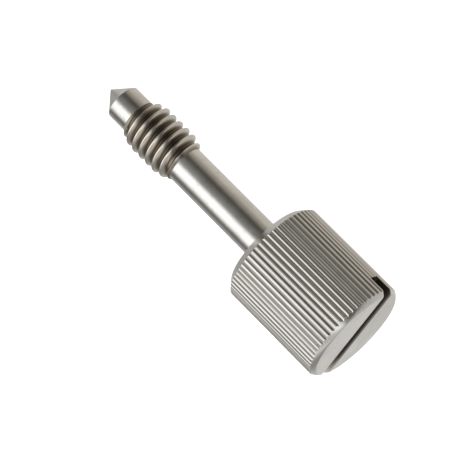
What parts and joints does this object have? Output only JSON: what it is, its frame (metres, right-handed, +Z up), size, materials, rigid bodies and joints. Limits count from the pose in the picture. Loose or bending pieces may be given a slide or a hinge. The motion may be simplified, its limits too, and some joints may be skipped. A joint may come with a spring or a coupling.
{
  "type": "captive screw",
  "caption": "Waisted captive panel screw: coned dog point, short right-hand machine thread, plain undercut shank and straight-knurled slotted thumb head.",
  "frame": {"origin": "halfway along the screw, straight below its axis, on the surface that it lies on", "axes": "+X along the screw's axis from the slotted head towards the coned point, +Z up as the screw lies, +Y square to both"},
  "size_m": [0.026, 0.0082, 0.0083],
  "materials": {
    "steel": "turned and rolled stainless steel, bright on the shank and the knurl's crests, darker in the thread"
  },
  "bodies": {
    "root": {"captive_screw": "steel"}
  },
  "joints": []
}
